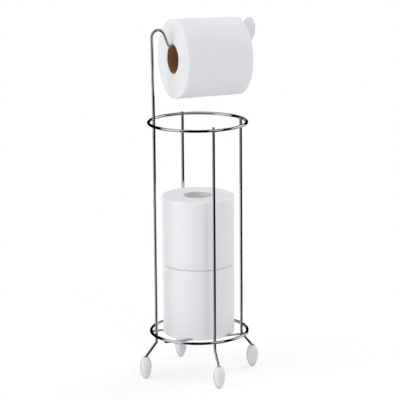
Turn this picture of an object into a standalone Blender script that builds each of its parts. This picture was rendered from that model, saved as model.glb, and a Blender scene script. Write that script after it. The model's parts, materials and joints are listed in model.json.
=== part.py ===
"""Freestanding toilet paper holder, loaded with rolls.

The stand is chromed wire: two rings, four uprights that bend out into legs with bead feet, and
two wires under the lower ring that carry the spare rolls. The left upright goes on above the
basket, over a gooseneck, and becomes the arm that the roll in use hangs on.
Metres, +Z up. The origin is on the floor under the stand's centre, and the arm runs along +X.
"""

import math

import bmesh
import bpy
from mathutils import Vector

# Clearances between pieces
TOUCH_GAP = 0.0003
MERGE_DISTANCE = 0.000001

# Paper rolls, all of one width
ROLL_LENGTH = 0.108
SPARE_DIAMETER = 0.1118
HANGING_DIAMETER = 0.1214
HANGING_TAPER = 0.0030
PAPER_RIM_RADIUS = 0.0026
PAPER_MOUTH_CHAMFER = 0.0005
CORE_BORE = 0.0428
CORE_WALL = 0.0008
CORE_INSET = 0.0006
HANGING_TURN = math.radians(3.6)

# Wire stock
RING_WIRE = 0.0045
UPRIGHT_WIRE = 0.0043
BASE_WIRE = 0.0030
WIRE_TIP = 0.0004
WIRE_TIP_SHARE = 0.82

# Basket
BASKET_PLAY = 0.0125
RING_SPACING = 0.331
UPRIGHT_OVERHANG = 0.0020
BASE_WIRE_OFFSET_SHARE = 0.433
BASE_WIRE_OVERHANG = 0.0005
STACK_SHIFT = 0.0039

# Beads, used as feet and as the arm's knob
BEAD_LENGTH = 0.0370
BEAD_DIAMETER = 0.0180
BEAD_FULLNESS_SHARE = 0.09
BEAD_FOOT_ANGLE = math.radians(14)
BEAD_LIP = 0.0004
SOCKET_DEPTH = 0.0140
SOCKET_FLARE = 0.0012
SOCKET_FLARE_DEPTH = 0.0014

# Legs
LEG_SPREAD = 0.0184
LEG_DROP = 0.0228
LEG_BEND_RADIUS = 0.0060
FOOT_BEND_RADIUS = 0.0030
RING_ABOVE_LEG = 0.0120

# Arm
ROLL_ABOVE_RING = 0.0365
ARM_LEAN = 0.0015
ARM_LEAN_RADIUS = 0.200
ARM_DROOP = math.radians(1.0)
HUMP_RADIUS = 0.0102
HUMP_RISE = 0.0260
DESCENT_ANGLE = math.radians(68.3)
NECK_RADIUS = 0.0060
KNOB_GAP = 0.0087
END_BEND_RADIUS = 0.0042

# Facets
WIRE_BEVEL_RESOLUTION = 4
BEND_STEP = math.radians(9)
RING_STEPS = 72
BEAD_STEPS = 20
BEAD_RINGS = 12
ROLL_STEPS = 56
RIM_STEPS = 3
SMOOTH_ANGLE = math.radians(40)

# Radii from the stand's axis
spare_radius = SPARE_DIAMETER / 2
upright_half = UPRIGHT_WIRE / 2
ring_half = RING_WIRE / 2
base_half = BASE_WIRE / 2
bead_half = BEAD_DIAMETER / 2
upright_reach = spare_radius + BASKET_PLAY + upright_half
ring_radius = upright_reach + upright_half + TOUCH_GAP + ring_half
foot_reach = upright_reach + LEG_SPREAD

# Heights, stacked from the floor up
leg_slope = math.atan2(LEG_SPREAD, LEG_DROP)
foot_setback = FOOT_BEND_RADIUS * math.tan(leg_slope / 2)


def egg_radius(angle):
    """Radius of the bead's outline, from its narrow end at zero to its full end at pi."""
    return bead_half * math.sin(angle) * (1 - BEAD_FULLNESS_SHARE * math.cos(angle))


def egg_height(angle):
    """Height of the bead's outline above its narrow end."""
    return BEAD_LENGTH / 2 * (1 - math.cos(angle))


def egg_angle(radius, fullness):
    """Angle from the nearer end at which the outline has this radius."""
    return math.asin(radius / (bead_half * fullness))


socket_radius = upright_half + TOUCH_GAP
flare_radius = socket_radius + SOCKET_FLARE
foot_lip_angle = math.pi - egg_angle(flare_radius + BEAD_LIP, 1 + BEAD_FULLNESS_SHARE)
knob_lip_angle = egg_angle(socket_radius + BEAD_LIP, 1 - BEAD_FULLNESS_SHARE)
foot_top = egg_height(foot_lip_angle) - egg_height(BEAD_FOOT_ANGLE)
leg_low = foot_top - SOCKET_FLARE_DEPTH + foot_setback
leg_high = leg_low + LEG_DROP
lower_ring_height = leg_high + RING_ABOVE_LEG
upper_ring_height = lower_ring_height + RING_SPACING
upright_top = upper_ring_height + ring_half + UPRIGHT_OVERHANG
base_wire_height = lower_ring_height - ring_half - TOUCH_GAP - base_half
spare_seat = base_wire_height + base_half + TOUCH_GAP

# The roll in use hangs from the arm by the top of its core
core_bore_radius = CORE_BORE / 2
core_radius = core_bore_radius + CORE_WALL
hanging_radius = HANGING_DIAMETER / 2
wire_room = core_bore_radius - upright_half - TOUCH_GAP
wire_drift = ROLL_LENGTH / 2 * math.sin(HANGING_TURN)
core_hang = math.sqrt(wire_room ** 2 - wire_drift ** 2)
roll_axis_height = upper_ring_height + ring_half + ROLL_ABOVE_RING + hanging_radius
run_middle_height = roll_axis_height + core_hang

# The arm is laid out from the upright towards the knob, along x
arm_start = -(upright_reach + ARM_LEAN)
hump_centre_x = arm_start + HUMP_RADIUS
hump_exit_x = hump_centre_x + HUMP_RADIUS * math.sin(DESCENT_ANGLE)
run_near_height = run_middle_height + ROLL_LENGTH / 2 * math.tan(ARM_DROOP)
hump_centre_height = run_near_height + HUMP_RISE - HUMP_RADIUS
hump_exit_height = hump_centre_height + HUMP_RADIUS * math.cos(DESCENT_ANGLE)
neck_x = hump_exit_x + (hump_exit_height - run_near_height) / math.tan(DESCENT_ANGLE)
neck_setback = NECK_RADIUS * math.tan((DESCENT_ANGLE - ARM_DROOP) / 2)
roll_near_x = neck_x + neck_setback
roll_middle_x = roll_near_x + ROLL_LENGTH / 2
roll_far_x = roll_near_x + ROLL_LENGTH
knob_x = roll_far_x + KNOB_GAP + bead_half


def run_height(x):
    """Height of the arm's centreline where it runs through the roll."""
    return run_middle_height - (x - roll_middle_x) * math.tan(ARM_DROOP)


end_setback = END_BEND_RADIUS * math.tan((math.pi / 2 + ARM_DROOP) / 2)
knob_base = run_height(knob_x) + end_setback

# The spare rolls stand pushed back against the back upright
stack_reach = spare_radius + upright_half + TOUCH_GAP
stack_x = STACK_SHIFT
stack_y = upright_reach - math.sqrt(stack_reach ** 2 - STACK_SHIFT ** 2)


def clear_scene():
    """Remove whatever the opened file holds."""
    for old in list(bpy.data.objects):
        bpy.data.objects.remove(old, do_unlink=True)


def make_material(name, colour, roughness, metallic):
    """Principled material in the part's plain colour."""
    material = bpy.data.materials.new(name)
    material.use_nodes = True
    shader = material.node_tree.nodes["Principled BSDF"]
    shader.inputs["Base Color"].default_value = (*colour, 1.0)
    shader.inputs["Roughness"].default_value = roughness
    shader.inputs["Metallic"].default_value = metallic
    material.diffuse_color = (*colour, 1.0)
    return material


def place(name, data, material):
    """Link a new object that shows this data in this material."""
    obj = bpy.data.objects.new(name, data)
    bpy.context.scene.collection.objects.link(obj)
    if not data.materials:
        data.materials.append(material)
    return obj


def bent_path(corners):
    """Points of a wire that runs straight between corners and turns each one on an arc.

    A corner is a place in the wire's own plane and the bend's centreline radius. The first and
    last are the wire's ends, and their radius isn't used.
    """
    points = [Vector(corners[0][0])]
    for before, (corner, radius), after in zip(corners, corners[1:], corners[2:]):
        corner = Vector(corner)
        arrive = (corner - Vector(before[0])).normalized()
        leave = (Vector(after[0]) - corner).normalized()
        turn = arrive.angle(leave)
        side = (leave - arrive * arrive.dot(leave)).normalized()
        start = corner - arrive * radius * math.tan(turn / 2)
        steps = max(1, math.ceil(turn / BEND_STEP))
        for step in range(steps + 1):
            angle = turn * step / steps
            along = arrive * radius * math.sin(angle)
            across = side * radius * (1 - math.cos(angle))
            points.append(start + along + across)
    points.append(Vector(corners[-1][0]))
    return points


def wire_data(name, points, diameter, cyclic=False):
    """Curve that draws a round wire through the points, with slightly broken edges at its ends."""
    curve = bpy.data.curves.new(name, "CURVE")
    curve.dimensions = "3D"
    curve.bevel_depth = diameter / 2
    curve.bevel_resolution = WIRE_BEVEL_RESOLUTION
    curve.use_fill_caps = True
    shares = [1.0] * len(points)
    if not cyclic:
        first = points[0] + (points[1] - points[0]).normalized() * WIRE_TIP
        last = points[-1] + (points[-2] - points[-1]).normalized() * WIRE_TIP
        points = [points[0], first, *points[1:-1], last, points[-1]]
        shares = [WIRE_TIP_SHARE, *[1.0] * (len(points) - 2), WIRE_TIP_SHARE]
    spline = curve.splines.new("POLY")
    spline.points.add(len(points) - 1)
    for target, point, share in zip(spline.points, points, shares):
        target.co = (*point, 1.0)
        target.radius = share
    spline.use_cyclic_u = cyclic
    spline.use_smooth = True
    return curve


def planar(corners):
    """Turn corners given as distance out, height and bend radius into places in the XZ plane."""
    return [((out, 0.0, height), radius) for out, height, radius in corners]


def turned_data(name, outline, steps):
    """Mesh of an outline of radii and heights turned about Z; off the axis it is a closed loop."""
    form = bmesh.new()
    points = [form.verts.new((radius, 0.0, height)) for radius, height in outline]
    edges = [form.edges.new(pair) for pair in zip(points, points[1:])]
    if outline[0][0] > 0:
        edges.append(form.edges.new((points[-1], points[0])))
    bmesh.ops.spin(
        form, geom=points + edges, cent=Vector(), axis=Vector((0, 0, 1)),
        angle=math.tau, steps=steps, use_duplicate=False)
    bmesh.ops.remove_doubles(form, verts=form.verts, dist=MERGE_DISTANCE)
    bmesh.ops.recalc_face_normals(form, faces=form.faces)
    mesh = bpy.data.meshes.new(name)
    form.to_mesh(mesh)
    form.free()
    mesh.shade_smooth()
    mesh.set_sharp_from_angle(angle=SMOOTH_ANGLE)
    return mesh


def egg_outline(first_angle, last_angle):
    """Outline of the bead between two angles, narrow end first."""
    span = last_angle - first_angle
    angles = [first_angle + span * step / BEAD_RINGS for step in range(BEAD_RINGS + 1)]
    return [(egg_radius(angle), egg_height(angle)) for angle in angles]


def foot_outline():
    """Bead that stands on a small flat and takes the leg in a flared socket in its full end."""
    shell = egg_outline(BEAD_FOOT_ANGLE, foot_lip_angle)
    floor = shell[0][1]
    mouth = shell[-1][1]
    throat = mouth - SOCKET_FLARE_DEPTH
    bottom = mouth - SOCKET_DEPTH
    socket = [
        (flare_radius, mouth), (socket_radius, throat),
        (socket_radius, bottom), (0.0, bottom)]
    return [(radius, height - floor) for radius, height in [(0.0, floor), *shell, *socket]]


def knob_outline():
    """The same bead, with its socket in the narrow end, for the arm's upturned tip."""
    shell = egg_outline(knob_lip_angle, math.pi)
    mouth = shell[0][1]
    roof = mouth + SOCKET_DEPTH
    socket = [(0.0, roof), (socket_radius, roof), (socket_radius, mouth)]
    top = [(0.0, BEAD_LENGTH)]
    return [(radius, height - mouth) for radius, height in socket + shell[:-1] + top]


def rounded_corner(radius, height, size, start_angle):
    """Arc of an outline's corner, a quarter turn about this centre."""
    angles = [start_angle + math.pi / 2 * step / RIM_STEPS for step in range(RIM_STEPS + 1)]
    return [(radius + size * math.cos(angle), height + size * math.sin(angle)) for angle in angles]


def paper_outline(low_radius, high_radius):
    """Section through the wound paper, with soft rims, standing on its lower end."""
    bore = core_radius + TOUCH_GAP
    rim = PAPER_RIM_RADIUS
    mouth = PAPER_MOUTH_CHAMFER
    outline = rounded_corner(low_radius - rim, rim, rim, -math.pi / 2)
    outline += rounded_corner(high_radius - rim, ROLL_LENGTH - rim, rim, 0.0)
    outline += [(bore + mouth, ROLL_LENGTH), (bore, ROLL_LENGTH - mouth)]
    outline += [(bore, mouth), (bore + mouth, 0.0)]
    return outline


def core_outline():
    """Section through the cardboard tube, set in a little from the paper's ends."""
    low = CORE_INSET
    high = ROLL_LENGTH - CORE_INSET
    return [
        (core_radius, low), (core_radius, high),
        (core_bore_radius, high), (core_bore_radius, low)]


def build_rings(chrome):
    """The two equal rings of the basket."""
    angles = [math.tau * step / RING_STEPS for step in range(RING_STEPS)]
    circle = [Vector((math.cos(angle), math.sin(angle), 0.0)) * ring_radius for angle in angles]
    data = wire_data("ring_wire", circle, RING_WIRE, cyclic=True)
    place("lower_ring", data, chrome).location.z = lower_ring_height
    place("upper_ring", data, chrome).location.z = upper_ring_height


def leg_corners():
    """Bends of a leg, from its end in the bead up to the upright."""
    return [
        (foot_reach, foot_top - SOCKET_DEPTH + TOUCH_GAP, 0.0),
        (foot_reach, leg_low, FOOT_BEND_RADIUS),
        (upright_reach, leg_high, LEG_BEND_RADIUS)]


def build_uprights(chrome):
    """The three short uprights, welded inside both rings, each with its leg."""
    corners = [*leg_corners(), (upright_reach, upright_top, 0.0)]
    data = wire_data("upright_wire", bent_path(planar(corners)), UPRIGHT_WIRE)
    for name, quarter in (("right_upright", 0), ("back_upright", 1), ("front_upright", 3)):
        place(name, data, chrome).rotation_euler.z = quarter * math.pi / 2


def build_arm_upright(chrome):
    """One wire: leg, tall upright, gooseneck, the run through the roll and the upturned tip."""
    hump_setback = HUMP_RADIUS * math.tan((math.pi / 2 + DESCENT_ANGLE) / 2)
    corners = [
        *leg_corners(),
        (upright_reach, upper_ring_height, ARM_LEAN_RADIUS),
        (-arm_start, hump_centre_height - HUMP_RADIUS, ARM_LEAN_RADIUS),
        (-arm_start, hump_centre_height + hump_setback, HUMP_RADIUS),
        (-neck_x, run_height(neck_x), NECK_RADIUS),
        (-knob_x, run_height(knob_x), END_BEND_RADIUS),
        (-knob_x, knob_base + SOCKET_DEPTH - TOUCH_GAP, 0.0)]
    data = wire_data("arm_wire", bent_path(planar(corners)), UPRIGHT_WIRE)
    place("arm_upright", data, chrome).rotation_euler.z = math.pi


def build_base_wires(chrome):
    """Two straight wires welded under the lower ring, which the spare rolls stand on."""
    offset = ring_radius * BASE_WIRE_OFFSET_SHARE
    half = math.sqrt(ring_radius ** 2 - offset ** 2) + BASE_WIRE_OVERHANG
    ends = [Vector((-half, 0.0, 0.0)), Vector((half, 0.0, 0.0))]
    data = wire_data("base_wire", ends, BASE_WIRE)
    place("base_wire_front", data, chrome).location = (0.0, -offset, base_wire_height)
    place("base_wire_back", data, chrome).location = (0.0, offset, base_wire_height)


def build_beads(white):
    """Four feet on the legs and the knob that keeps the roll on the arm."""
    data = turned_data("foot_bead", foot_outline(), BEAD_STEPS)
    for name, quarter in (("foot_right", 0), ("foot_back", 1), ("foot_left", 2), ("foot_front", 3)):
        angle = quarter * math.pi / 2
        foot = place(name, data, white)
        foot.location = (foot_reach * math.cos(angle), foot_reach * math.sin(angle), 0.0)
        foot.rotation_euler.z = angle
    knob = place("arm_knob", turned_data("knob_bead", knob_outline(), BEAD_STEPS), white)
    knob.location = (knob_x, 0.0, knob_base)


def build_spares(paper, pale_card):
    """Two spare rolls stacked in the basket, each with its own core."""
    radius = spare_radius
    paper_data = turned_data("spare_paper", paper_outline(radius, radius), ROLL_STEPS)
    core_data = turned_data("spare_core", core_outline(), ROLL_STEPS)
    seat = spare_seat
    for name in ("lower_spare", "upper_spare"):
        place(f"{name}_paper", paper_data, paper).location = (stack_x, stack_y, seat)
        place(f"{name}_core", core_data, pale_card).location = (stack_x, stack_y, seat)
        seat += ROLL_LENGTH + TOUCH_GAP


def build_hanging_roll(paper, brown_card):
    """The roll in use, hung a little askew on the arm by the top of its core."""
    axis = bpy.data.objects.new("hanging_roll_axis", None)
    bpy.context.scene.collection.objects.link(axis)
    axis.location = (roll_middle_x, 0.0, roll_axis_height)
    axis.rotation_euler = (0.0, math.pi / 2 + ARM_DROOP, HANGING_TURN)
    near = hanging_radius
    far = hanging_radius - HANGING_TAPER / 2
    pieces = (
        ("hanging_roll_paper", paper_outline(near, far), paper),
        ("hanging_roll_core", core_outline(), brown_card))
    for name, outline, material in pieces:
        piece = place(name, turned_data(name, outline, ROLL_STEPS), material)
        piece.parent = axis
        piece.location.z = -ROLL_LENGTH / 2


def build():
    """Model every piece of the loaded stand."""
    clear_scene()
    chrome = make_material("chromed_wire", (0.80, 0.80, 0.82), 0.08, 1.0)
    white = make_material("white_bead", (0.82, 0.82, 0.84), 0.25, 0.0)
    paper = make_material("white_paper", (0.86, 0.86, 0.88), 0.90, 0.0)
    brown_card = make_material("brown_cardboard", (0.15, 0.07, 0.03), 0.85, 0.0)
    pale_card = make_material("pale_cardboard", (0.50, 0.44, 0.44), 0.85, 0.0)
    build_rings(chrome)
    build_uprights(chrome)
    build_arm_upright(chrome)
    build_base_wires(chrome)
    build_beads(white)
    build_spares(paper, pale_card)
    build_hanging_roll(paper, brown_card)


build()
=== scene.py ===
"""Freestanding toilet paper holder: the finish of its wire, beads and rolls, and the studio.

Metres, +Z up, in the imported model's frame: the origin is on the floor under the stand's centre,
and the arm runs along +X. Each CAD node gets a finer mesh in its place.
"""
import json
import math
from typing import NamedTuple

import bmesh
import bpy
from mathutils import Matrix, Quaternion, Vector, noise


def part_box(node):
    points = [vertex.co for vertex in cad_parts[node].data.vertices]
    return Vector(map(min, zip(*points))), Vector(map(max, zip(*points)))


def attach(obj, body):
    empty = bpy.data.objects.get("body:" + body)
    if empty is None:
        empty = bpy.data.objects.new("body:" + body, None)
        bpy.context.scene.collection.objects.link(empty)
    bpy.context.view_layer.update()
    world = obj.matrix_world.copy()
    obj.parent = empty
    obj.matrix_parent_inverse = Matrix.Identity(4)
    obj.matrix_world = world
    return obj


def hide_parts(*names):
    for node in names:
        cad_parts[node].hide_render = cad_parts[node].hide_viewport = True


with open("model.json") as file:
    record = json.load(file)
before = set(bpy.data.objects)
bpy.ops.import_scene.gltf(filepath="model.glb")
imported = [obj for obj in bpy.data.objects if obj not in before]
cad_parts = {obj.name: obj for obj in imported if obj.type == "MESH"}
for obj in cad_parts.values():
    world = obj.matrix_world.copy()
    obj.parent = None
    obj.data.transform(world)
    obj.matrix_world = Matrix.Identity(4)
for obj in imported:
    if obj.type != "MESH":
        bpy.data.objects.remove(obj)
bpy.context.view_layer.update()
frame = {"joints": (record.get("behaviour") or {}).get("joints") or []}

UP = Vector((0.0, 0.0, 1.0))

# Wire bends, as the solids have them
LEG_DROP = 0.0228
LEG_BEND_RADIUS = 0.0060
FOOT_BEND_RADIUS = 0.0030
ARM_LEAN = 0.0015
ARM_LEAN_RADIUS = 0.200
ARM_DROOP = math.radians(1.0)
HUMP_RADIUS = 0.0102
DESCENT_ANGLE = math.radians(68.3)
NECK_RADIUS = 0.0060
END_BEND_RADIUS = 0.0042

# Wire tips, rounded where they were cut
WIRE_TIP = 0.0005

# Welds, small fused saddles that reach into the wire on both sides
WELD_WAIST = 0.00115
WELD_FLARE = 0.0019
WELD_REACH = 0.0009

# Beads, as the solids have them
BEAD_LENGTH = 0.0370
BEAD_DIAMETER = 0.0180
BEAD_FULLNESS_SHARE = 0.09
BEAD_FOOT_ANGLE = math.radians(14)
BEAD_LIP = 0.0004
SOCKET_DEPTH = 0.0140
SOCKET_FLARE = 0.0012
SOCKET_FLARE_DEPTH = 0.0014

# Room between a bead and its wire, and between a roll's tube and its paper, as in the solids
TOUCH_GAP = 0.0003

# Rolls, as the solids have them
HANGING_DIAMETER = 0.1214
HANGING_TAPER = 0.0030
CORE_BORE = 0.0428
MOUTH_CHAMFER = 0.0005

# Rolls: a tighter rim than in the solids, and how far the spares are turned
RIM_RADIUS = 0.0015
SPARE_TURN = math.radians(75)

# Sheets. The last one's loose end stands off a little, unevenly along its edge
SHEET_LENGTH = 0.112
SHEET_THICKNESS = 0.0004
TAIL_LIFT = 0.0006
TAIL_LIFT_REACH = 0.007
TAIL_WAVER = 0.4

# Soft unevenness of the wound paper and of its cut ends, and how far apart the rolls' seeds are
SOFTNESS = 0.00022
SOFTNESS_SCALE = 0.030
END_RELIEF = 0.00012
END_RELIEF_SCALE = 0.0022
SEED_STEP = 7.3

# Spiral seam of the tubes
SEAM_DEPTH = 0.00025
SEAM_WIDTH = 0.0012
SEAM_PITCH = 0.078

# The lower spare's outer wraps hang past the base wires by up to SAG. This fades out at a height
# above the wires, and beside them it starts after a clearance and grows over a spread
SAG = 0.0033
SAG_HEIGHT = 0.026
SAG_CLEARANCE = 0.0016
SAG_SPREAD = 0.0020

# Facets
WIRE_SIDES = 28
RING_STEPS = 192
BEND_STEP = math.radians(4)
TIP_STEPS = 4
WELD_STEPS = 24
WELD_ROWS = 6
BEAD_STEPS = 56
BEAD_RINGS = 36
ROLL_STEPS = 176
ROLL_ROWS = 36
RIM_STEPS = 6
END_ROWS = 26
CORE_STEPS = 96
CORE_ROWS = 60
MERGE_DISTANCE = 0.000001
SMOOTH_ANGLE = math.radians(40)

# Colours
CHROME_HAZY = (0.66, 0.67, 0.69, 1.0)
CHROME_CLEAR = (0.72, 0.73, 0.74, 1.0)
BEAD_DULL = (0.83, 0.83, 0.855, 1.0)
BEAD_BRIGHT = (0.88, 0.88, 0.895, 1.0)
TISSUE_DULL = (0.845, 0.850, 0.868, 1.0)
TISSUE_BRIGHT = (0.885, 0.888, 0.900, 1.0)
TISSUE_LAYER = (0.80, 0.80, 0.82, 1.0)
# Painted shade for the perforation slits
TISSUE_SLIT_SHADE = (0.45, 0.45, 0.47, 1.0)
BROWN_DARK = (0.24, 0.105, 0.036, 1.0)
BROWN_LIGHT = (0.44, 0.22, 0.095, 1.0)
PALE_DARK = (0.74, 0.70, 0.70, 1.0)
PALE_LIGHT = (0.85, 0.81, 0.81, 1.0)

# Textures: grain in cells per metre, lowest and highest roughness, and a relief's depth and strength
NOISE_RANGE = (0.3, 0.7)
WHOLE_RANGE = (0.0, 1.0)
CHROME_HAZE_GRAIN = 90.0
CHROME_ROUGHNESS = (0.04, 0.08)
CHROME_RIPPLE_GRAIN = 260.0
CHROME_RELIEF = (0.00006, 0.12)
BEAD_CLOUD_GRAIN = 110.0
BEAD_ROUGHNESS = (0.20, 0.30)
BEAD_RIPPLE_GRAIN = 240.0
BEAD_RELIEF = (0.0001, 0.08)
TISSUE_CLOUD_GRAIN = 55.0
CREPE_GRAIN = (2600.0, 420.0, 0.0)
CREPE_RELIEF = (0.0002, 0.12)
DIMPLE_GRAIN = (330.0, 330.0, 0.0)
DIMPLE_RANDOMNESS = 0.15
DIMPLE_RANGE = (0.15, 0.5)
DIMPLE_RELIEF = (0.0003, 0.22)
LAYER_GRAIN = (14.0, 0.0, 2400.0)
LAYER_RELIEF = (0.0004, 0.35)
PERFORATION_HALF_WIDTH = 0.00045
PERFORATION_GRAIN = 420.0
PERFORATION_UNCUT_SHARE = 0.35
PERFORATION_SHADE = 0.05
BOARD_FIBRE_GRAIN = (900.0, 900.0, 500.0)
BOARD_FLECK_GRAIN = 1400.0
BOARD_ROUGHNESS = (0.78, 0.92)
BOARD_RELIEF = (0.0002, 0.3)

# Sockets of a mix node that mixes two colours
MIX_FACTOR = 0
MIX_FIRST = 6
MIX_SECOND = 7
MIX_RESULT = 2

# Camera, as the photograph was taken
CAMERA_AZIMUTH = math.radians(-19.70)
CAMERA_ELEVATION = math.radians(12.94)
CAMERA_ROLL = math.radians(-0.47)
CAMERA_DISTANCE = 3.222
CAMERA_TARGET = Vector((0.0026, -0.0009, 0.2777))
CAMERA_LENS = 187.74
CAMERA_SENSOR = 36.0
CAMERA_REACH = 100.0

# Floor, whose share of plain white grows between two distances from the stand's axis
FLOOR_HALF = 20.0
FLOOR_COLOUR = (0.86, 0.86, 0.86, 1.0)
FLOOR_GLOW = 0.25
FLOOR_WHITE_SHARE = 0.45
FLOOR_NEAR = 0.16
FLOOR_FAR = 0.60

# Light from all round
AMBIENT = 0.50
AMBIENT_COLOUR = (0.97, 0.98, 1.0, 1.0)
WHITE = (1.0, 1.0, 1.0, 1.0)

# Flags and cards on a far sphere. Azimuths are in degrees from the camera, to its right
FLAG_RADIUS = 8.0
FLAG_STEP = 2
# A card's lowest and highest azimuth, lowest and highest elevation, and glow
CARDS = (
    (-92, -42, -70, 46, 0.88),
    (-144, -46, 46, 78, 0.78),
    (86, 140, 10, 34, 1.7),
    (28, 62, 16, 42, 1.5),
    (100, 170, -76, -14, 0.6))

LAMP_DISTANCE = 2.6
# A lamp's name, azimuth and elevation in degrees, width, height and power
LAMPS = (
    ("left_softbox", -68, 28, 2.8, 3.0, 37.5),
    ("right_softbox", 130, 45, 1.6, 1.6, 18.6),
    ("right_edge_strip", 98, 8, 0.6, 1.6, 4.5),
    ("front_strip", 25, 24, 0.55, 0.9, 9.6))

# Places read from the frame
ring_low, ring_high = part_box("lower_ring")
ring_half = (ring_high.z - ring_low.z) / 2
ring_radius = ring_high.x - ring_half
lower_ring_height = ring_low.z + ring_half
upper_ring_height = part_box("upper_ring")[0].z + ring_half
upright_low, upright_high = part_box("right_upright")
upright_half = upright_high.y
upright_reach = upright_low.x + upright_half
foot_low, foot_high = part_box("foot_right")
foot_reach = (foot_low.x + foot_high.x) / 2
arm_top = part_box("arm_upright")[1].z
knob_low, knob_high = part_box("arm_knob")
knob_x = (knob_low.x + knob_high.x) / 2


# Shared forms
def make_object(name, mesh, material, body, slot, *nodes):
    """Link a mesh that rides a body, and hide the CAD nodes that it takes the place of."""
    obj = bpy.data.objects.new(name, mesh)
    bpy.context.scene.collection.objects.link(obj)
    mesh.materials.append(material)
    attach(obj, body)
    if nodes:
        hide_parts(*nodes)


def finish_mesh(name, form):
    """Merge what coincides, face everything out and shade the mesh smooth."""
    bmesh.ops.remove_doubles(form, verts=form.verts, dist=MERGE_DISTANCE)
    bmesh.ops.recalc_face_normals(form, faces=form.faces)
    mesh = bpy.data.meshes.new(name)
    form.to_mesh(mesh)
    form.free()
    mesh.shade_smooth()
    mesh.set_sharp_from_angle(angle=SMOOTH_ANGLE)
    return mesh


def outward(angle):
    """Unit vector away from the Z axis."""
    return Vector((math.cos(angle), math.sin(angle), 0.0))


def skin_loops(form, loops, closed):
    """Faces from each loop of points to the next one, and from the last to the first if closed."""
    pairs = list(zip(loops, loops[1:]))
    if closed:
        pairs.append((loops[-1], loops[0]))
    for near, far in pairs:
        for index in range(len(near)):
            following = (index + 1) % len(near)
            form.faces.new((near[index], far[index], far[following], near[following]))


def turned_form(outline, steps):
    """Outline of radii and heights, with both ends on the Z axis, turned about that axis."""
    form = bmesh.new()
    points = [form.verts.new((radius, 0.0, height)) for radius, height in outline]
    edges = [form.edges.new(pair) for pair in zip(points, points[1:])]
    bmesh.ops.spin(
        form, geom=points + edges, cent=Vector(), axis=UP,
        angle=math.tau, steps=steps, use_duplicate=False)
    return form


# Wires
def bent_path(corners):
    """Points of a wire that runs straight between corners and turns each one on an arc."""
    points = [Vector(corners[0][0])]
    for before, (corner, radius), after in zip(corners, corners[1:], corners[2:]):
        corner = Vector(corner)
        arrive = (corner - Vector(before[0])).normalized()
        leave = (Vector(after[0]) - corner).normalized()
        turn = arrive.angle(leave)
        side = (leave - arrive * arrive.dot(leave)).normalized()
        start = corner - arrive * radius * math.tan(turn / 2)
        steps = max(1, math.ceil(turn / BEND_STEP))
        for step in range(steps + 1):
            angle = turn * step / steps
            along = arrive * radius * math.sin(angle)
            across = side * radius * (1 - math.cos(angle))
            points.append(start + along + across)
    points.append(Vector(corners[-1][0]))
    return points


def wire_section(centre, out, side, radius):
    """Points round a wire, in the plane of two unit directions."""
    angles = [math.tau * step / WIRE_SIDES for step in range(WIRE_SIDES)]
    return [centre + (out * math.cos(a) + side * math.sin(a)) * radius for a in angles]


def open_wire_sections(path, normal, radius):
    """Sections of an open wire whose path lies in a plane, with rounded tips."""
    first = (path[1] - path[0]).normalized()
    last = (path[-1] - path[-2]).normalized()
    tip = []
    for step in range(TIP_STEPS + 1):
        angle = math.pi / 2 * step / TIP_STEPS
        tip.append((WIRE_TIP * (1 - math.cos(angle)), radius - WIRE_TIP * (1 - math.sin(angle))))
    places = [(path[0] + first * inset, first, size) for inset, size in tip]
    for before, here, after in zip(path, path[1:], path[2:]):
        places.append((here, (after - before).normalized(), radius))
    places += [(path[-1] - last * inset, last, size) for inset, size in reversed(tip)]
    return [wire_section(centre, normal, tangent.cross(normal), size)
            for centre, tangent, size in places]


def wire_mesh(name, sections, closed):
    """Wire over a row of sections, capped at its ends unless it is closed."""
    form = bmesh.new()
    loops = [[form.verts.new(point) for point in section] for section in sections]
    skin_loops(form, loops, closed)
    if not closed:
        form.faces.new(loops[0])
        form.faces.new(loops[-1])
    return finish_mesh(name, form)


def ring_mesh(name, height):
    """One ring of the basket."""
    sections = []
    for step in range(RING_STEPS):
        out = outward(math.tau * step / RING_STEPS)
        sections.append(wire_section(out * ring_radius + UP * height, out, UP, ring_half))
    return wire_mesh(name, sections, closed=True)


def flat_wire(name, corners, angle):
    """Wire laid out as distance out, height and bend radius, and turned about the stand's axis."""
    path = bent_path([((out, 0.0, height), radius) for out, height, radius in corners])
    turn = Matrix.Rotation(angle, 3, "Z")
    normal = turn @ Vector((0.0, 1.0, 0.0))
    sections = open_wire_sections([turn @ point for point in path], normal, upright_half)
    return wire_mesh(name, sections, closed=False)


def leg_corners():
    """Bends of a leg, from its end in the bead up to the upright."""
    slope = math.atan2(foot_reach - upright_reach, LEG_DROP)
    low = foot_high.z - SOCKET_FLARE_DEPTH + FOOT_BEND_RADIUS * math.tan(slope / 2)
    return [
        (foot_reach, upright_low.z, 0.0),
        (foot_reach, low, FOOT_BEND_RADIUS),
        (upright_reach, low + LEG_DROP, LEG_BEND_RADIUS)]


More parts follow.
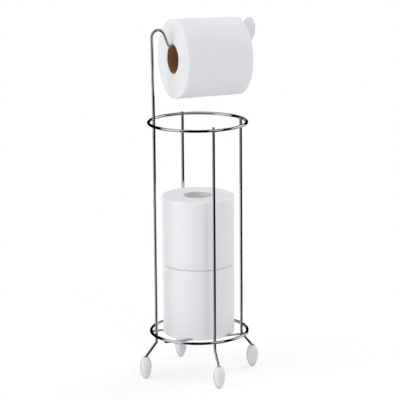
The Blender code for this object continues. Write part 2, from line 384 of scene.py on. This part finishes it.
def arm_corners():
    """Bends of the long wire, from its leg over the gooseneck to the knob."""
    start = upright_reach + ARM_LEAN
    hump_centre = arm_top - upright_half - HUMP_RADIUS
    hump_corner = hump_centre + HUMP_RADIUS * math.tan((math.pi / 2 + DESCENT_ANGLE) / 2)
    exit_x = -start + HUMP_RADIUS * (1 + math.sin(DESCENT_ANGLE))
    exit_height = hump_centre + HUMP_RADIUS * math.cos(DESCENT_ANGLE)
    knob_height = knob_low.z - END_BEND_RADIUS * math.tan((math.pi / 2 + ARM_DROOP) / 2)
    fall, droop = math.tan(DESCENT_ANGLE), math.tan(ARM_DROOP)
    neck_x = (exit_height + exit_x * fall - knob_height - knob_x * droop) / (fall - droop)
    neck_height = knob_height + (knob_x - neck_x) * droop
    return [
        *leg_corners(),
        (upright_reach, upper_ring_height, ARM_LEAN_RADIUS),
        (start, hump_centre - HUMP_RADIUS, ARM_LEAN_RADIUS),
        (start, hump_corner, HUMP_RADIUS),
        (-neck_x, neck_height, NECK_RADIUS),
        (-knob_x, knob_height, END_BEND_RADIUS),
        (-knob_x, knob_low.z + SOCKET_DEPTH - TOUCH_GAP, 0.0)]


def build_wires(chrome):
    """Rings, uprights, the arm and the base wires, round where the solids are faceted."""
    wires = {
        "lower_ring": ring_mesh("lower_ring_wire", lower_ring_height),
        "upper_ring": ring_mesh("upper_ring_wire", upper_ring_height),
        "arm_upright": flat_wire("arm_wire", arm_corners(), math.pi)}
    short = [*leg_corners(), (upright_reach, upright_high.z, 0.0)]
    for name, quarter in (("right_upright", 0), ("back_upright", 1), ("front_upright", 3)):
        wires[name] = flat_wire(f"{name}_wire", short, quarter * math.pi / 2)
    for name in ("base_wire_front", "base_wire_back"):
        low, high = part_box(name)
        centre = (low + high) / 2
        path = [Vector((low.x, centre.y, centre.z)), centre, Vector((high.x, centre.y, centre.z))]
        sections = open_wire_sections(path, Vector((0.0, 1.0, 0.0)), (high.z - low.z) / 2)
        wires[name] = wire_mesh(f"{name}_rod", sections, closed=False)
    for node, mesh in wires.items():
        make_object(mesh.name, mesh, chrome, "stand", "chromed_wire", node)


# Welds
def weld_outline(half_gap):
    """Outline of a weld: a waist that flares into the wire on each side."""
    reach = half_gap + WELD_REACH
    heights = [reach * (step / WELD_ROWS - 1) for step in range(2 * WELD_ROWS + 1)]
    grow = (WELD_FLARE - WELD_WAIST) / reach ** 2
    shell = [(WELD_WAIST + grow * height ** 2, height) for height in heights]
    return [(0.0, -reach), *shell, (0.0, reach)]


def weld_places():
    """Middle, direction and half the gap of each place where two wires are welded."""
    places = []
    near = upright_reach + upright_half
    far = ring_radius - ring_half
    for quarter in range(4):
        out = outward(quarter * math.pi / 2)
        for height in (lower_ring_height, upper_ring_height):
            places.append((out * (near + far) / 2 + UP * height, out, (far - near) / 2))
    for name in ("base_wire_front", "base_wire_back"):
        low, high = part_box(name)
        y = (low.y + high.y) / 2
        x = math.sqrt(ring_radius ** 2 - y ** 2)
        gap = ring_low.z - high.z
        for side in (-x, x):
            places.append((Vector((side, y, high.z + gap / 2)), UP, gap / 2))
    return places


def build_welds(chrome):
    """Fused saddles where the uprights meet the rings and the base wires meet the lower ring."""
    form = bmesh.new()
    for centre, axis, half_gap in weld_places():
        weld = turned_form(weld_outline(half_gap), WELD_STEPS)
        turn = axis.to_track_quat("Z", "X").to_matrix().to_4x4()
        bmesh.ops.transform(weld, matrix=Matrix.Translation(centre) @ turn, verts=weld.verts)
        part = bpy.data.meshes.new("weld_part")
        weld.to_mesh(part)
        weld.free()
        form.from_mesh(part)
        bpy.data.meshes.remove(part)
    make_object("welds", finish_mesh("welds", form), chrome, "stand", "chromed_wire")


# Beads
def egg_point(angle):
    """Place on the bead's outline, from its narrow end at zero to its full end at pi."""
    radius = BEAD_DIAMETER / 2 * math.sin(angle) * (1 - BEAD_FULLNESS_SHARE * math.cos(angle))
    return radius, BEAD_LENGTH / 2 * (1 - math.cos(angle))


def egg_shell(first, last):
    """Outline of the bead between two angles."""
    return [egg_point(first + (last - first) * step / BEAD_RINGS) for step in range(BEAD_RINGS + 1)]


def egg_angle(radius, fullness):
    """Angle from the nearer end at which the outline has this radius."""
    return math.asin(radius / (BEAD_DIAMETER / 2 * fullness))


def foot_outline():
    """Bead that stands on a small flat and takes the leg in a flared socket in its full end."""
    socket = upright_half + TOUCH_GAP
    flare = socket + SOCKET_FLARE
    lip = math.pi - egg_angle(flare + BEAD_LIP, 1 + BEAD_FULLNESS_SHARE)
    shell = egg_shell(BEAD_FOOT_ANGLE, lip)
    floor, mouth = shell[0][1], shell[-1][1]
    inside = [
        (flare, mouth), (socket, mouth - SOCKET_FLARE_DEPTH),
        (socket, mouth - SOCKET_DEPTH), (0.0, mouth - SOCKET_DEPTH)]
    return [(radius, height - floor) for radius, height in [(0.0, floor), *shell, *inside]]


def knob_outline():
    """The same bead, with its socket in the narrow end, for the arm's upturned tip."""
    socket = upright_half + TOUCH_GAP
    shell = egg_shell(egg_angle(socket + BEAD_LIP, 1 - BEAD_FULLNESS_SHARE), math.pi)
    mouth = shell[0][1]
    roof = mouth + SOCKET_DEPTH
    outline = [(0.0, roof), (socket, roof), (socket, mouth), *shell[:-1], (0.0, BEAD_LENGTH)]
    return [(radius, height - mouth) for radius, height in outline]


def bead_mesh(name, outline, place):
    """Bead turned from its outline, with the middle of its lower end at a place."""
    form = turned_form(outline, BEAD_STEPS)
    bmesh.ops.translate(form, vec=place, verts=form.verts)
    return finish_mesh(name, form)


def build_beads(glaze):
    """Four feet and the knob, each on the end of its wire."""
    outline = foot_outline()
    for name in ("foot_left", "foot_front", "foot_right", "foot_back"):
        low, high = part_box(name)
        place = Vector(((low.x + high.x) / 2, (low.y + high.y) / 2, 0.0))
        mesh = bead_mesh(f"{name}_bead", outline, place)
        make_object(mesh.name, mesh, glaze, "stand", "white_bead", name)
    mesh = bead_mesh("knob_bead", knob_outline(), Vector((knob_x, 0.0, knob_low.z)))
    make_object(mesh.name, mesh, glaze, "stand", "white_bead", "arm_knob")


# Rolls
class Roll(NamedTuple):
    """A roll that stands on the origin along Z until it is placed."""

    name: str
    place: Matrix
    length: float
    low_radius: float
    high_radius: float
    bore: float
    seed: float


def roll_section(roll):
    """Section through the wound paper as radius, height, and how far it is an end face."""
    low, high, length, bore = roll.low_radius, roll.high_radius, roll.length, roll.bore
    section = []
    for row in range(ROLL_ROWS + 1):
        share = row / ROLL_ROWS
        height = RIM_RADIUS + (length - 2 * RIM_RADIUS) * share
        section.append((low + (high - low) * share, height, 0.0))
    for step in range(1, RIM_STEPS + 1):
        angle = math.pi / 2 * step / RIM_STEPS
        section.append((
            high - RIM_RADIUS * (1 - math.cos(angle)),
            length - RIM_RADIUS * (1 - math.sin(angle)), step / RIM_STEPS))
    span = high - RIM_RADIUS - bore - MOUTH_CHAMFER
    for row in range(1, END_ROWS + 1):
        section.append((high - RIM_RADIUS - span * row / END_ROWS, length, 1.0))
    section.append((bore, length - MOUTH_CHAMFER, 1.0))
    section.append((bore, MOUTH_CHAMFER, 1.0))
    span = low - RIM_RADIUS - bore - MOUTH_CHAMFER
    for row in range(END_ROWS + 1):
        section.append((bore + MOUTH_CHAMFER + span * row / END_ROWS, 0.0, 1.0))
    for step in range(1, RIM_STEPS):
        angle = math.pi / 2 * step / RIM_STEPS
        section.append((
            low - RIM_RADIUS * (1 - math.sin(angle)),
            RIM_RADIUS * (1 - math.cos(angle)), 1 - step / RIM_STEPS))
    return section


def wound_point(roll, radius, height, end, turn):
    """Place of one point of the roll: the outer wrap winds in, and the surface is softly uneven."""
    angle = math.tau * turn
    out = outward(angle)
    loose = min(1.0, max(0.0, (radius - roll.bore) / RIM_RADIUS - 1))
    lift = TAIL_LIFT * math.exp(-(radius * angle / TAIL_LIFT_REACH) ** 2)
    waver = noise.noise(Vector((height / SOFTNESS_SCALE, roll.seed, 0.0)))
    lift *= 1 - TAIL_WAVER + TAIL_WAVER * waver
    soft_place = (out * radius + UP * height) / SOFTNESS_SCALE
    soft = SOFTNESS * noise.noise(soft_place + Vector((roll.seed, 0.0, 0.0)))
    wound = radius + loose * (lift - SHEET_THICKNESS * turn + soft)
    layer = (radius - SHEET_THICKNESS * turn) / END_RELIEF_SCALE
    relief = END_RELIEF * noise.noise(Vector((layer, out.x + roll.seed, out.y))) * end * loose
    side = 1.0 if height > roll.length / 2 else -1.0
    return out * wound + UP * (height + side * (relief - END_RELIEF * end * loose))


def hang_past_wires(form, roll):
    """Let the outer wraps of a roll hang a little past the two wires that it stands on."""
    wire_low, wire_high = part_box("base_wire_back")
    wire_y = (wire_low.y + wire_high.y) / 2
    seat = roll.place.translation
    for vert in form.verts:
        fade = max(0.0, 1 - (vert.co.z - seat.z) / SAG_HEIGHT) ** 2
        reach = (vert.co.xy - seat.xy).length
        spread = min(1.0, max(0.0, (reach - roll.bore) / (roll.low_radius - roll.bore)))
        beside = max(0.0, abs(abs(vert.co.y) - wire_y) - SAG_CLEARANCE)
        clear = 1 - math.exp(-(beside / SAG_SPREAD) ** 2)
        vert.co.z -= SAG * fade * spread * clear


def tissue_mesh(roll, stands_on_wires):
    """Wound paper whose last sheet ends in a tail edge, with its winding kept for the material."""
    section = roll_section(roll)
    form = bmesh.new()
    wind = form.verts.layers.float_vector.new("wind")
    cut_end = form.verts.layers.float.new("cut_end")
    columns = []
    for step in range(ROLL_STEPS + 1):
        turn = step / ROLL_STEPS
        along = math.tau * turn * roll.low_radius
        column = []
        for radius, height, end in section:
            vert = form.verts.new(wound_point(roll, radius, height, end, turn))
            vert[wind] = Vector((along, height, radius - SHEET_THICKNESS * turn))
            vert[cut_end] = end
            column.append(vert)
        columns.append(column)
    skin_loops(form, columns, closed=True)
    bmesh.ops.transform(form, matrix=roll.place, verts=form.verts)
    if stands_on_wires:
        hang_past_wires(form, roll)
    return finish_mesh(f"{roll.name}_tissue", form)


def tube_mesh(roll, outer, inset):
    """Spiral-wound board tube with a shallow seam along its helix, inside and out."""
    high = roll.length - inset
    heights = [inset + (high - inset) * row / CORE_ROWS for row in range(CORE_ROWS + 1)]
    walls = ((outer, -1.0, heights), (CORE_BORE / 2, 1.0, heights[::-1]))
    form = bmesh.new()
    columns = []
    for step in range(CORE_STEPS):
        out = outward(math.tau * step / CORE_STEPS)
        column = []
        for radius, side, rows in walls:
            for height in rows:
                phase = (height / SEAM_PITCH - step / CORE_STEPS) % 1.0
                across = min(phase, 1.0 - phase) * SEAM_PITCH / SEAM_WIDTH
                groove = SEAM_DEPTH * math.exp(-across ** 2)
                column.append(form.verts.new(out * (radius + side * groove) + UP * height))
        columns.append(column)
    skin_loops(form, columns, closed=True)
    bmesh.ops.transform(form, matrix=roll.place, verts=form.verts)
    return finish_mesh(f"{roll.name}_tube", form)


def hanging_place(length):
    """Where the roll in use goes: its middle is on its hinge, and it lies along the hinge's axis."""
    joint = next(joint for joint in frame["joints"] if joint["name"] == "roll_spin")
    axis = Vector(joint["axis"])
    seat = Vector(joint["pos_m"]) - axis.normalized() * length / 2
    return Matrix.Translation(seat) @ axis.to_track_quat("Z", "X").to_matrix().to_4x4()


def spare_place(name):
    """Where a spare roll goes: on the bottom of its box, turned so that its loose end is hidden."""
    low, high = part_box(f"{name}_paper")
    seat = Vector(((low.x + high.x) / 2, (low.y + high.y) / 2, low.z))
    return Matrix.Translation(seat) @ Matrix.Rotation(SPARE_TURN, 4, "Z")


def build_rolls(paper, brown_board, pale_board):
    """The roll in use and the two spares in the basket."""
    paper_low, paper_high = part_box("lower_spare_paper")
    core_low, core_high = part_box("lower_spare_core")
    length = paper_high.z - paper_low.z
    spare_radius = (paper_high.x - paper_low.x) / 2
    core_radius = (core_high.x - core_low.x) / 2
    hanging_radius = HANGING_DIAMETER / 2
    far_radius = hanging_radius - HANGING_TAPER / 2
    rolls = (
        ("hanging_roll", hanging_place(length), hanging_radius, far_radius,
         brown_board, "brown_cardboard"),
        ("lower_spare", spare_place("lower_spare"), spare_radius, spare_radius,
         pale_board, "pale_cardboard"),
        ("upper_spare", spare_place("upper_spare"), spare_radius, spare_radius,
         pale_board, "pale_cardboard"))
    for number, (name, place, low_radius, high_radius, board, board_slot) in enumerate(rolls, start=1):
        roll = Roll(
            name, place, length, low_radius, high_radius, core_radius + TOUCH_GAP, number * SEED_STEP)
        mesh = tissue_mesh(roll, stands_on_wires=name == "lower_spare")
        make_object(mesh.name, mesh, paper, name, "white_paper", f"{name}_paper")
        mesh = tube_mesh(roll, core_radius, core_low.z - paper_low.z)
        make_object(mesh.name, mesh, board, name, board_slot, f"{name}_core")


# Materials
class Shader:
    """A material's node tree, with short calls to add and join nodes."""

    def __init__(self, name):
        self.material = bpy.data.materials.new(name)
        self.material.use_nodes = True
        self.tree = self.material.node_tree
        self.surface = self.tree.nodes["Principled BSDF"]

    def put(self, value, socket):
        """Set a socket's value, or link it where the value is another node's output."""
        if isinstance(value, bpy.types.NodeSocket):
            self.tree.links.new(value, socket)
        else:
            socket.default_value = value

    def add(self, kind, **values):
        """Add a node; a value named like one of its sockets goes there, any other is a setting."""
        node = self.tree.nodes.new(kind)
        for name, value in values.items():
            socket = node.inputs.get(name.replace("_", " "))
            if socket is None:
                setattr(node, name, value)
            else:
                self.put(value, socket)
        return node

    def math(self, operation, first, second=0.0):
        """Output of a math node."""
        node = self.add("ShaderNodeMath", operation=operation)
        self.put(first, node.inputs[0])
        self.put(second, node.inputs[1])
        return node.outputs[0]

    def remap(self, value, source, target):
        """Output of a node that maps one range, of a lowest and a highest value, to another."""
        return self.add(
            "ShaderNodeMapRange", Value=value, From_Min=source[0], From_Max=source[1],
            To_Min=target[0], To_Max=target[1]).outputs[0]

    def blend(self, factor, first, second):
        """Colour between two colours."""
        node = self.add("ShaderNodeMix", data_type="RGBA")
        self.put(factor, node.inputs[MIX_FACTOR])
        self.put(first, node.inputs[MIX_FIRST])
        self.put(second, node.inputs[MIX_SECOND])
        return node.outputs[MIX_RESULT]

    def noise(self, place, scale, detail=3.0):
        """Output of a noise texture at a place."""
        return self.add(
            "ShaderNodeTexNoise", Vector=place, Scale=scale, Detail=detail).outputs["Fac"]

    def bump(self, height, relief, below=None):
        """Output of a bump node, on top of another bump where one is given."""
        depth, strength = relief
        node = self.add("ShaderNodeBump", Strength=strength, Distance=depth, Height=height)
        if below is not None:
            self.put(below, node.inputs["Normal"])
        return node.outputs[0]

    def scaled(self, place, scale):
        """A place multiplied by a scale along each axis."""
        node = self.add("ShaderNodeVectorMath", operation="MULTIPLY")
        self.put(place, node.inputs[0])
        self.put(scale, node.inputs[1])
        return node.outputs[0]

    def place(self):
        """The point's own place in the frame."""
        return self.add("ShaderNodeTexCoord").outputs["Object"]

    def finish(self, **values):
        """Set the surface's sockets and give the material back."""
        for name, value in values.items():
            self.put(value, self.surface.inputs[name.replace("_", " ")])
        return self.material


def chrome_material():
    """Bright plating over drawn wire: nearly a mirror, with a faint ripple and haze."""
    shader = Shader("chrome_plate")
    place = shader.place()
    haze = shader.noise(place, CHROME_HAZE_GRAIN)
    ripple = shader.noise(place, CHROME_RIPPLE_GRAIN, detail=2.0)
    return shader.finish(
        Base_Color=shader.blend(haze, CHROME_HAZY, CHROME_CLEAR),
        Metallic=1.0,
        Roughness=shader.remap(haze, NOISE_RANGE, CHROME_ROUGHNESS),
        Normal=shader.bump(ripple, CHROME_RELIEF))


def bead_material():
    """Glossy white moulding with a faint unevenness."""
    shader = Shader("bead_gloss")
    place = shader.place()
    cloud = shader.noise(place, BEAD_CLOUD_GRAIN)
    ripple = shader.noise(place, BEAD_RIPPLE_GRAIN)
    return shader.finish(
        Base_Color=shader.blend(cloud, BEAD_DULL, BEAD_BRIGHT),
        Roughness=shader.remap(cloud, NOISE_RANGE, BEAD_ROUGHNESS),
        Coat_Weight=0.4,
        Coat_Roughness=0.12,
        Normal=shader.bump(ripple, BEAD_RELIEF))


def paper_material():
    """Embossed tissue: crepe, rows of dimples, perforations with painted shade in their slits, and
    layered cut ends.
    """
    shader = Shader("tissue")
    wind = shader.add("ShaderNodeAttribute", attribute_name="wind").outputs["Vector"]
    end = shader.add("ShaderNodeAttribute", attribute_name="cut_end").outputs["Fac"]
    outside = shader.math("SUBTRACT", 1.0, end)
    along, across = shader.add("ShaderNodeSeparateXYZ", Vector=wind).outputs[:2]

    crepe = shader.noise(shader.scaled(wind, CREPE_GRAIN), 1.0)
    cells = shader.add(
        "ShaderNodeTexVoronoi", Vector=shader.scaled(wind, DIMPLE_GRAIN), Scale=1.0,
        Randomness=DIMPLE_RANDOMNESS)
    dimples = shader.remap(cells.outputs["Distance"], DIMPLE_RANGE, WHOLE_RANGE)
    dimples = shader.math("MULTIPLY", dimples, outside)
    layers = shader.noise(shader.scaled(wind, LAYER_GRAIN), 1.0, detail=4.0)
    layers = shader.math("MULTIPLY", layers, end)

    from_edge = shader.math("PINGPONG", along, SHEET_LENGTH / 2)
    cut = shader.math("LESS_THAN", from_edge, PERFORATION_HALF_WIDTH)
    dash_phase = shader.math("FRACT", shader.math("MULTIPLY", across, PERFORATION_GRAIN))
    dash = shader.math("GREATER_THAN", dash_phase, PERFORATION_UNCUT_SHARE)
    perforation = shader.math("MULTIPLY", shader.math("MULTIPLY", cut, dash), outside)

    cloud = shader.noise(shader.place(), TISSUE_CLOUD_GRAIN, detail=4.0)
    colour = shader.blend(cloud, TISSUE_DULL, TISSUE_BRIGHT)
    colour = shader.blend(layers, colour, TISSUE_LAYER)
    # Painted shade along the perforations, standing in for the shadow inside their slits
    colour = shader.blend(shader.math("MULTIPLY", perforation, PERFORATION_SHADE), colour, TISSUE_SLIT_SHADE)
    relief = shader.bump(dimples, DIMPLE_RELIEF)
    relief = shader.bump(crepe, CREPE_RELIEF, relief)
    relief = shader.bump(layers, LAYER_RELIEF, relief)
    return shader.finish(
        Base_Color=colour,
        Roughness=0.92,
        Specular_IOR_Level=0.15,
        Subsurface_Weight=0.5,
        Subsurface_Radius=(1.0, 1.0, 1.0),
        Subsurface_Scale=0.005,
        Normal=relief)


def board_material(name, dark, light):
    """Pale or brown board: matted fibres, with flecks."""
    shader = Shader(name)
    place = shader.place()
    fibres = shader.noise(shader.scaled(place, BOARD_FIBRE_GRAIN), 1.0, detail=5.0)
    flecks = shader.noise(place, BOARD_FLECK_GRAIN, detail=1.0)
    return shader.finish(
        Base_Color=shader.blend(shader.remap(fibres, NOISE_RANGE, WHOLE_RANGE), dark, light),
        Roughness=shader.remap(flecks, NOISE_RANGE, BOARD_ROUGHNESS),
        Normal=shader.bump(fibres, BOARD_RELIEF))


# Studio
def studio_direction(azimuth, elevation):
    """Unit vector towards an azimuth from the camera and an elevation above the horizon."""
    turn = CAMERA_AZIMUTH + azimuth
    flat = math.cos(elevation)
    return Vector((math.sin(turn) * flat, -math.cos(turn) * flat, math.sin(elevation)))


def build_camera():
    """Camera at the photograph's viewing angle."""
    data = bpy.data.cameras.new("camera")
    data.lens = CAMERA_LENS
    data.sensor_width = CAMERA_SENSOR
    data.clip_end = CAMERA_REACH
    camera = bpy.data.objects.new("camera", data)
    bpy.context.scene.collection.objects.link(camera)
    back = studio_direction(0.0, CAMERA_ELEVATION)
    camera.location = CAMERA_TARGET + back * CAMERA_DISTANCE
    camera.rotation_mode = "QUATERNION"
    aim = (-back).to_track_quat("-Z", "Y")
    camera.rotation_quaternion = aim @ Quaternion(UP, CAMERA_ROLL)
    bpy.context.scene.camera = camera


def shown_ray(tree):
    """Output that is 1 for rays that show the background: from the camera, in metal and in glass."""
    path = tree.nodes.new("ShaderNodeLightPath")
    total = path.outputs["Is Camera Ray"]
    for name in ("Is Glossy Ray", "Is Transmission Ray"):
        node = tree.nodes.new("ShaderNodeMath")
        node.operation = "MAXIMUM"
        tree.links.new(total, node.inputs[0])
        tree.links.new(path.outputs[name], node.inputs[1])
        total = node.outputs[0]
    return total


def build_world():
    """White where it is seen, and a soft even light on what it lights."""
    world = bpy.data.worlds.new("studio")
    bpy.context.scene.world = world
    world.use_nodes = True
    tree = world.node_tree
    light = tree.nodes["Background"]
    light.inputs["Color"].default_value = AMBIENT_COLOUR
    light.inputs["Strength"].default_value = AMBIENT
    white = tree.nodes.new("ShaderNodeBackground")
    white.inputs["Color"].default_value = WHITE
    mix = tree.nodes.new("ShaderNodeMixShader")
    tree.links.new(shown_ray(tree), mix.inputs[0])
    tree.links.new(light.outputs[0], mix.inputs[1])
    tree.links.new(white.outputs[0], mix.inputs[2])
    tree.links.new(mix.outputs[0], tree.nodes["World Output"].inputs["Surface"])


def stage_object(name, form, material):
    """Link a mesh that isn't part of the object."""
    mesh = bpy.data.meshes.new(name)
    form.to_mesh(mesh)
    form.free()
    mesh.materials.append(material)
    obj = bpy.data.objects.new(name, mesh)
    bpy.context.scene.collection.objects.link(obj)
    return obj


def floor_material():
    """Matt floor that keeps shadows near the stand, and is plain white further out."""
    shader = Shader("pale_floor")
    shown = shown_ray(shader.tree)
    reach = shader.add("ShaderNodeVectorMath", operation="LENGTH")
    shader.put(shader.place(), reach.inputs[0])
    white_share = shader.remap(
        reach.outputs["Value"], (FLOOR_NEAR, FLOOR_FAR), (FLOOR_WHITE_SHARE, 1.0))
    matt = shader.add("ShaderNodeBsdfDiffuse", Color=FLOOR_COLOUR)
    glow = shader.add("ShaderNodeEmission", Strength=shader.math("MULTIPLY", shown, FLOOR_GLOW))
    lifted = shader.add("ShaderNodeAddShader")
    shader.put(matt.outputs[0], lifted.inputs[0])
    shader.put(glow.outputs[0], lifted.inputs[1])
    white = shader.add("ShaderNodeEmission", Strength=1.0)
    mix = shader.add("ShaderNodeMixShader")
    shader.put(shader.math("MULTIPLY", shown, white_share), mix.inputs[0])
    shader.put(lifted.outputs[0], mix.inputs[1])
    shader.put(white.outputs[0], mix.inputs[2])
    shader.put(mix.outputs[0], shader.tree.nodes["Material Output"].inputs["Surface"])
    shader.tree.nodes.remove(shader.surface)
    return shader.material


def build_floor():
    """Plain pale floor, which keeps the object's shadow."""
    form = bmesh.new()
    bmesh.ops.create_grid(form, x_segments=1, y_segments=1, size=FLOOR_HALF)
    floor = stage_object("floor", form, floor_material())
    floor.visible_glossy = False


def glow_material(name, strength):
    """Surface that only glows, or that is black where its strength is zero."""
    shader = Shader(name)
    glow = shader.add("ShaderNodeEmission", Strength=strength)
    shader.put(glow.outputs[0], shader.tree.nodes["Material Output"].inputs["Surface"])
    shader.tree.nodes.remove(shader.surface)
    return shader.material


def shell_form(wanted):
    """Part of a far sphere round the object: the facets whose middle, in degrees, is wanted."""
    form = bmesh.new()
    corners = {}
    for elevation in range(-90, 91, FLAG_STEP):
        for azimuth in range(-180, 180, FLAG_STEP):
            towards = studio_direction(math.radians(azimuth), math.radians(elevation))
            corners[azimuth, elevation] = form.verts.new(towards * FLAG_RADIUS)
    for low in range(-90, 90, FLAG_STEP):
        high = low + FLAG_STEP
        for left in range(-180, 180, FLAG_STEP):
            right = left + FLAG_STEP if left + FLAG_STEP < 180 else -180
            if wanted(left + FLAG_STEP / 2, low + FLAG_STEP / 2):
                form.faces.new((
                    corners[left, low], corners[right, low],
                    corners[right, high], corners[left, high]))
    return form


def in_sector(sector, azimuth, elevation):
    """Whether a direction lies between a sector's azimuths and between its elevations."""
    left, right, low, high = sector
    return left < azimuth < right and low < elevation < high


def build_flags():
    """Black flags round the set with pale cards between them, for the chrome to mirror."""
    def on_flag(azimuth, elevation):
        return not any(in_sector(card[:4], azimuth, elevation) for card in CARDS)

    shells = [stage_object("black_flags", shell_form(on_flag), glow_material("flag_black", 0.0))]
    for number, (*sector, glow) in enumerate(CARDS, start=1):
        form = shell_form(lambda azimuth, elevation: in_sector(sector, azimuth, elevation))
        name = f"card_{number}"
        shells.append(stage_object(name, form, glow_material(name, glow)))
    for shell in shells:
        shell.visible_camera = False
        shell.visible_diffuse = False
        shell.visible_transmission = False
        shell.visible_volume_scatter = False
        shell.visible_shadow = False


def build_lamps():
    """Soft boxes round the set."""
    middle = UP * CAMERA_TARGET.z
    for name, azimuth, elevation, width, height, power in LAMPS:
        data = bpy.data.lights.new(name, "AREA")
        data.shape = "RECTANGLE"
        data.size = width
        data.size_y = height
        data.energy = power
        lamp = bpy.data.objects.new(name, data)
        bpy.context.scene.collection.objects.link(lamp)
        towards = studio_direction(math.radians(azimuth), math.radians(elevation))
        lamp.location = middle + towards * LAMP_DISTANCE
        lamp.rotation_mode = "QUATERNION"
        lamp.rotation_quaternion = (-towards).to_track_quat("-Z", "Y")
        lamp.visible_camera = False
        lamp.visible_glossy = False


def build_studio():
    """Camera, floor, lights and flags."""
    build_camera()
    build_world()
    build_floor()
    build_flags()
    build_lamps()
    bpy.context.scene.view_settings.view_transform = "Standard"


def build():
    """Dress the whole object."""
    chrome = chrome_material()
    build_wires(chrome)
    build_welds(chrome)
    build_beads(bead_material())
    build_rolls(
        paper_material(),
        board_material("brown_board", BROWN_DARK, BROWN_LIGHT),
        board_material("pale_board", PALE_DARK, PALE_LIGHT))


build_studio()
build()
